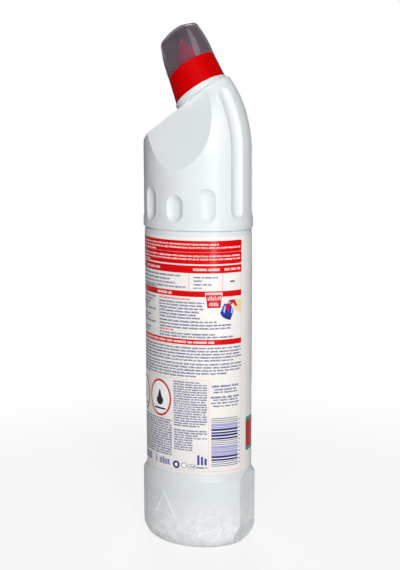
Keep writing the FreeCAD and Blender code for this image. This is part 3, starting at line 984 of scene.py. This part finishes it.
    def bar_pattern(self) -> None:
        """Print the pattern of lying bars, on no code's rhythm, with a row of tiny marks."""
        repeat = ((0.6, 0.65, Ink.SLATE), (1.3, 0.7, Ink.NAVY), (1.6, 0.25, Ink.LILAC),
                  (0.6, 0.6, Ink.SLATE), (1.1, 0.5, Ink.NAVY), (0.9, 0.3, Ink.LILAC),
                  (0.6, 0.55, Ink.SLATE))
        repeats, stride, left, right, height = 3, 3, 22.3, 39.6, 83.6
        for i in range(repeats * len(repeat)):
            deep, gap, ink = repeat[(i * stride + i // len(repeat)) % len(repeat)]
            self.sheet.block(ink, left, right, height - deep, height)
            height -= deep + gap
        marks, left, right, low, high, pitch = 12, 40.3, 41.3, 54.0, 55.1, 2.45
        for i in range(marks):
            self.sheet.block(Ink.LILAC, left, right, low + i * pitch, high + i * pitch)

    def bottom_row(self) -> None:
        """Print the bold marks and the small plain shapes along the foot."""
        low, high, width, gap = 52.3, 56.9, 0.85, 0.6
        rows = ((-41.0, -33.0), (-31.5, -21.0), (-16.6, -14.6), (-13.2, -4.2))
        ovals = ((Ink.NAVY, 0.0, 53.4, (2.4, 2.4), (1.1, 1.1)),
                 (Ink.SLATE, 5.3, 53.4, (1.8, 1.8), (1.3, 1.3)),
                 (Ink.SLATE, 10.4, 53.0, (2.8, 1.6), (2.3, 1.2)))
        posts, post_left, post_right, post_pitch, post_low, post_high = (
            3, 13.7, 15.1, 2.2, 54.2, 60.6)
        sheet = self.sheet
        for left, right in rows:
            sheet.strokes(Ink.INDIGO, left, right, low, high, width, gap)
        for ink, x, y, outside, inside in ovals:
            sheet.oval_spot(ink, x, y, *outside, layer=1)
            sheet.oval_spot(Ink.WHITE, x, y, *inside, layer=2)
        sheet.words(Ink.SMALL_NAVY, 9.0, 12.2, 53.0, 0.8, layer=3)
        for i in range(posts):
            sheet.block(Ink.INDIGO, post_left + i * post_pitch, post_right + i * post_pitch,
                        post_low, post_high - i, corner=0.5)
        sheet.words(Ink.SMALL_NAVY, 13.3, 19.9, 52.6, self.tiny)


@dataclass
class DisplayPanel:
    """The side that faces a shopper: a red field with teal edges and plain bubbles."""

    sheet: PrintSheet
    left: float = 46.8
    right: float = 145.0
    band: Span = (60.3, 81.4)
    band_corner: float = 0.8
    inner_band: Span = (62.4, 79.4)
    inner_corner: float = 0.5
    inner_inset: float = 0.4
    plate: Span = (66.5, 75.3)
    plate_half: float = 30.0
    plate_corner: float = 4.2
    line_half: float = 24.0
    line_height: float = 70.9
    line_size: float = 2.6
    edge: Span = (96.0, 184.0)
    edge_half: float = 40.0
    edge_corner: float = 14.0
    red_field: Span = (98.0, 182.0)
    field_half: float = 38.0
    field_corner: float = 12.5
    bubbles: tuple[tuple[float, float, float], ...] = (
        (-14.0, 128.0, 15.0), (13.0, 150.0, 11.5), (-16.0, 162.0, 7.0),
        (16.0, 122.0, 7.5), (4.0, 170.0, 4.5), (-2.0, 108.0, 4.0))
    bubble_sides: int = 48
    bubble_inside: float = 0.9
    glint_place: Point = (-0.35, 0.38)
    glint: Point = (0.2, 0.13)

    def print_all(self) -> None:
        """Print the low band, the tall field above it and the bubbles on it."""
        sheet = self.sheet
        middle = (self.left + self.right) / 2
        sheet.block(Ink.TEAL, self.left, self.right, *self.band, corner=self.band_corner)
        sheet.block(Ink.DEEP_RED, self.left + self.inner_inset, self.right - self.inner_inset,
                    *self.inner_band, corner=self.inner_corner, layer=1)
        sheet.block(Ink.WHITE, middle - self.plate_half, middle + self.plate_half, *self.plate,
                    corner=self.plate_corner, layer=2)
        sheet.words(Ink.NAVY, middle - self.line_half, middle + self.line_half,
                    self.line_height, self.line_size, layer=3)
        sheet.block(Ink.TEAL, middle - self.edge_half, middle + self.edge_half, *self.edge,
                    corner=self.edge_corner)
        sheet.block(Ink.RED, middle - self.field_half, middle + self.field_half,
                    *self.red_field, corner=self.field_corner, layer=1)
        for x, y, size in self.bubbles:
            for ink, share, layer in ((Ink.PALE_BLUE, 1.0, 2), (Ink.BLUE, self.bubble_inside, 3)):
                sheet.oval_spot(ink, middle + x, y, size * share, size * share, layer=layer,
                                sides=self.bubble_sides)
            sheet.oval_spot(Ink.WHITE, middle + x + size * self.glint_place[0],
                            y + size * self.glint_place[1], size * self.glint[0],
                            size * self.glint[1], layer=4)


@dataclass
class Bottle:
    """The blown bottle, shown by its CAD node."""

    node: str = "bottle"
    finish: BlownPolyethylene = BlownPolyethylene()

    def dress(self) -> None:
        """Give the bottle its plastic."""
        paint(self.node, self.finish.material())
        LOG.info("dressed %s", self.node)


@dataclass
class Label:
    """The wrapped film and its print."""

    node: str = "label"
    finish: PrintedFilm = PrintedFilm()

    def dress(self) -> None:
        """Give the film its finish and print it."""
        paint(self.node, self.finish.material())
        sheet = PrintSheet(LabelOval.from_node(self.node))
        TextPanel(sheet).print_all()
        DisplayPanel(sheet).print_all()
        printed = sheet.mesh("label_print")
        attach(printed, Body.BOTTLE.value)
        LOG.info("dressed %s with %d shapes of ink", self.node, len(sheet.shapes))


@dataclass
class Closure:
    """The red band and spout, and the smoky overcap on it, shown by their CAD nodes."""

    spout_node: str = "spout"
    overcap_node: str = "overcap"
    overcap_finish: SmokedPolypropylene = SmokedPolypropylene()

    def dress(self) -> None:
        """Give both pieces their plastics. The overcap's foot shows where the band ends."""
        axis = Vector(MouldedPolypropylene.ring_axis)
        parting = min(v.co.dot(axis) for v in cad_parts[self.overcap_node].data.vertices)
        paint(self.spout_node, MouldedPolypropylene(parting).material())
        paint(self.overcap_node, self.overcap_finish.material())
        LOG.info("dressed %s and %s", self.spout_node, self.overcap_node)


@dataclass
class PhotoCamera:
    """The camera as it stood for the photograph, found from the oval rims and printed lines.

    Its place is in millimetres and its turns are in degrees.
    """

    x: float = 390.1
    y: float = -683.1
    z: float = 292.85
    azimuth: float = 29.6
    tilt: float = 9.59
    roll: float = -0.2
    focal_pixels: float = 1299.0
    long_side_pixels: float = 570.0
    sensor: float = 36.0
    clip_start: float = 0.01

    def build(self) -> None:
        """Make the camera and set it as the scene's."""
        data = bpy.data.cameras.new("photo_camera")
        data.sensor_width = self.sensor
        data.lens = self.focal_pixels / self.long_side_pixels * self.sensor
        data.clip_start = self.clip_start
        camera = add_object("photo_camera", data)
        turn = Matrix.Rotation(math.radians(self.azimuth), 4, "Z")
        lean = Matrix.Rotation(math.radians(90.0 - self.tilt), 4, "X")
        spin = Matrix.Rotation(math.radians(self.roll), 4, "Z")
        spot = Matrix.Translation(Vector((self.x, self.y, self.z)) * MM)
        camera.matrix_world = spot @ turn @ lean @ spin
        bpy.context.scene.camera = camera
        LOG.info("camera at %.0f, %.0f, %.0f mm", self.x, self.y, self.z)


@dataclass
class Softbox:
    """One soft area lamp, aimed at the bottle, in degrees, metres and watts."""

    name: str
    azimuth: float
    height: float
    distance: float
    wide: float
    tall: float
    power: float
    aim_height: float = 0.15

    def build(self) -> None:
        """Make the lamp on the side given by its azimuth, where 0 is in front, towards -Y."""
        data = bpy.data.lights.new(self.name, "AREA")
        data.shape = "RECTANGLE"
        data.size = self.wide
        data.size_y = self.tall
        data.energy = self.power
        lamp = add_object(self.name, data)
        turn = math.radians(self.azimuth)
        lamp.location = (math.sin(turn) * self.distance, -math.cos(turn) * self.distance,
                         self.height)
        aim = Vector((0.0, 0.0, self.aim_height)) - lamp.location
        lamp.rotation_euler = aim.to_track_quat("-Z", "Y").to_euler()


@dataclass
class Studio:
    """The floor, the lamps and the white surroundings, in metres."""

    floor_radius: float = 3.0
    floor_sides: int = 96
    tent_dim: float = 0.0
    tent_bright: float = 0.2
    tent_turn: Span = (-0.1, 0.9)
    bright_side: tuple[float, float, float] = (-0.45, 0.64, 0.62)
    lamps: tuple[Softbox, ...] = (
        Softbox("strip_softbox", 43.0, 0.57, 0.9, 0.12, 1.1, 6.0, aim_height=0.57),
        Softbox("front_softbox", 27.0, 0.72, 1.1, 0.7, 0.8, 6.7),
        Softbox("back_softbox", 212.0, 1.1, 1.2, 0.5, 0.9, 9.0),
    )

    def build(self) -> None:
        """Make the studio."""
        self.floor()
        self.surroundings()
        for lamp in self.lamps:
            lamp.build()
        LOG.info("studio with %d lamps", len(self.lamps))

    def floor(self) -> None:
        """Make the floor as a wide disc of paper."""
        work = bmesh.new()
        bmesh.ops.create_circle(work, cap_ends=True, segments=self.floor_sides,
                                radius=self.floor_radius)
        add_mesh_object("floor", work, [StudioPaper().material()])

    def surroundings(self) -> None:
        """Make the world: white where it is seen, and a soft light that one side gives more of."""
        world = bpy.data.worlds.new("studio_white")
        world.use_nodes = True
        tree = world.node_tree
        tree.nodes.clear()
        seen = seen_share(tree)
        way = add_node(tree, "ShaderNodeTexCoord").outputs["Generated"]
        towards = add_node(tree, "ShaderNodeVectorMath", {0: way, 1: self.bright_side},
                           operation="DOT_PRODUCT")
        tent = add_node(tree, "ShaderNodeMapRange", {
            "Value": towards.outputs["Value"], "From Min": self.tent_turn[0],
            "From Max": self.tent_turn[1], "To Min": self.tent_dim,
            "To Max": self.tent_bright}, interpolation_type="SMOOTHSTEP")
        level = add_node(tree, "ShaderNodeMapRange", {
            "Value": seen, "To Min": tent.outputs["Result"]})
        back = add_node(tree, "ShaderNodeBackground", {
            "Color": WHITE_LIGHT, "Strength": level.outputs["Result"]})
        add_node(tree, "ShaderNodeOutputWorld", {"Surface": back.outputs["Background"]})
        bpy.context.scene.world = world


def main() -> None:
    """Dress the bottle and build its studio."""
    logging.basicConfig(level=logging.INFO, format="%(name)s: %(message)s")
    bpy.context.scene.view_settings.view_transform = "Standard"
    for assembly in (Bottle(), Label(), Closure()):
        assembly.dress()
    Studio().build()
    PhotoCamera().build()


if __name__ == "__main__":
    main()
